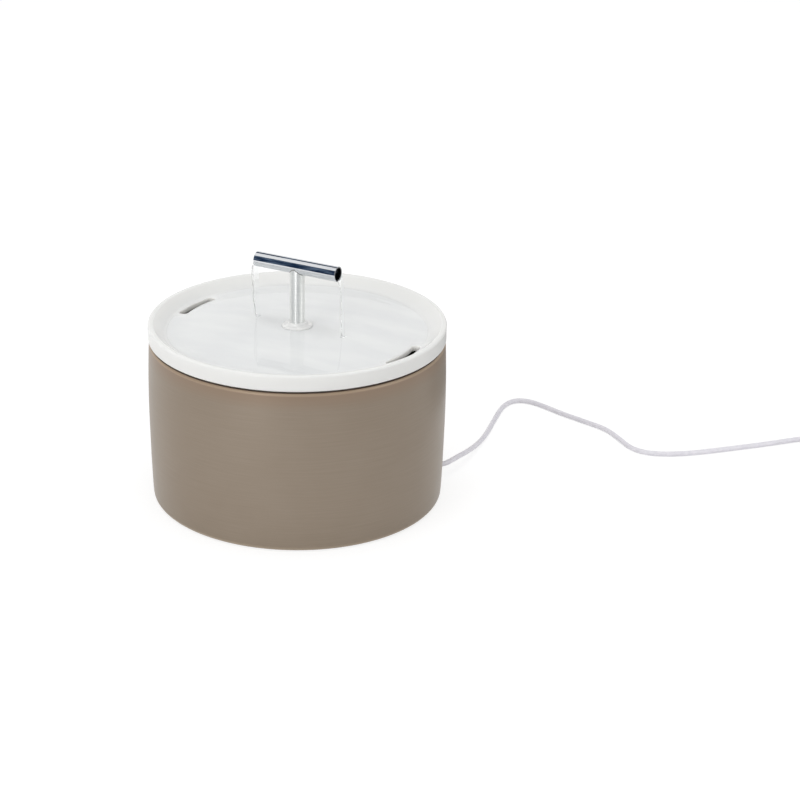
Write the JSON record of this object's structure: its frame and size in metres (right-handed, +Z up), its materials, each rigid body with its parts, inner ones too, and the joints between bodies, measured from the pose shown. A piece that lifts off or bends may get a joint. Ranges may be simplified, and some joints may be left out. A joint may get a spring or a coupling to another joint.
{
  "type": "pet water fountain",
  "caption": "Round ceramic pet drinking fountain: barrelled tank, white tray lid with drain slots, turning T spout, submersible pump and mains lead.",
  "frame": {"origin": "on the surface that the fountain stands on, under the middle of the tank", "axes": "+Z up along the tank's axis, +X along the spout bar"},
  "size_m": [0.5683, 0.4745, 0.2085],
  "materials": {
    "tank_glaze": "satin pearl stoneware glaze",
    "lid_glaze": "gloss white stoneware glaze",
    "spout_steel": "polished",
    "collar_plastic": "gloss white",
    "silicone": "translucent white silicone",
    "pump_plastic": "moulded black",
    "potting_resin": "cast black resin",
    "black_rubber": "matt",
    "magnet_ferrite": "sintered ferrite",
    "core_steel": "laminated electrical steel",
    "winding_copper": "enamelled copper wire",
    "pin_ceramic": "ground ceramic",
    "foam": "open-cell foam",
    "cord_white": "white flexible cord",
    "plug_white": "moulded white",
    "pin_nickel": "nickel-plated brass"
  },
  "bodies": {
    "tank_body": {"tank": "tank_glaze", "foot_pads": "silicone", "outlet_grommet": "silicone", "riser_sleeve": "silicone", "pump_housing": "pump_plastic", "chamber_cover": "pump_plastic", "coil_former": "pump_plastic", "suction_cups": "black_rubber", "chamber_seal": "black_rubber", "shaft_seat_front": "black_rubber", "shaft_seat_rear": "black_rubber", "pump_gland": "cord_white", "impeller_shaft": "pin_ceramic", "stator_core": "core_steel", "stator_coil": "winding_copper", "potting": "potting_resin", "cord_inner": "cord_white", "cord_outer": "cord_white", "cord_coil": "cord_white", "cord_tail": "cord_white", "coil_tie": "black_rubber", "plug_relief": "plug_white", "plug_body": "plug_white", "plug_pins": "pin_nickel"},
    "lid_body": {"lid": "lid_glaze"},
    "collar_body": {"spout_collar": "collar_plastic", "collar_nut": "collar_plastic"},
    "spout_body": {"spout_stem": "spout_steel", "spout_bar": "spout_steel"},
    "rotor_body": {"impeller": "pump_plastic", "rotor_magnet": "magnet_ferrite"},
    "intake_body": {"intake_grille": "pump_plastic", "filter_sponge": "foam"},
    "gate_body": {"flow_gate": "pump_plastic"}
  },
  "joints": [
    {"name": "lid_lift", "type": "slide", "parent": "tank_body", "child": "lid_body", "axis": [0, 0, 1], "range_m": [0, 0.12]},
    {"name": "spout_turn", "type": "hinge", "parent": "lid_body", "child": "collar_body", "pos_m": [0, 0, 0.1498], "axis": [0, 0, 1], "continuous": true},
    {"name": "spout_pull", "type": "slide", "parent": "collar_body", "child": "spout_body", "axis": [0, 0, 1], "range_m": [0, 0.09]},
    {"name": "rotor_spin", "type": "hinge", "parent": "tank_body", "child": "rotor_body", "pos_m": [0, 0, 0.0295], "axis": [0.749, 0.6626, 0], "continuous": true},
    {"name": "intake_pull", "type": "slide", "parent": "tank_body", "child": "intake_body", "axis": [-0.749, -0.6626, 0], "range_m": [0, 0.03]},
    {"name": "gate_slide", "type": "slide", "parent": "intake_body", "child": "gate_body", "axis": [-0.6626, 0.749, 0], "range_m": [0, 0.012]}
  ]
}
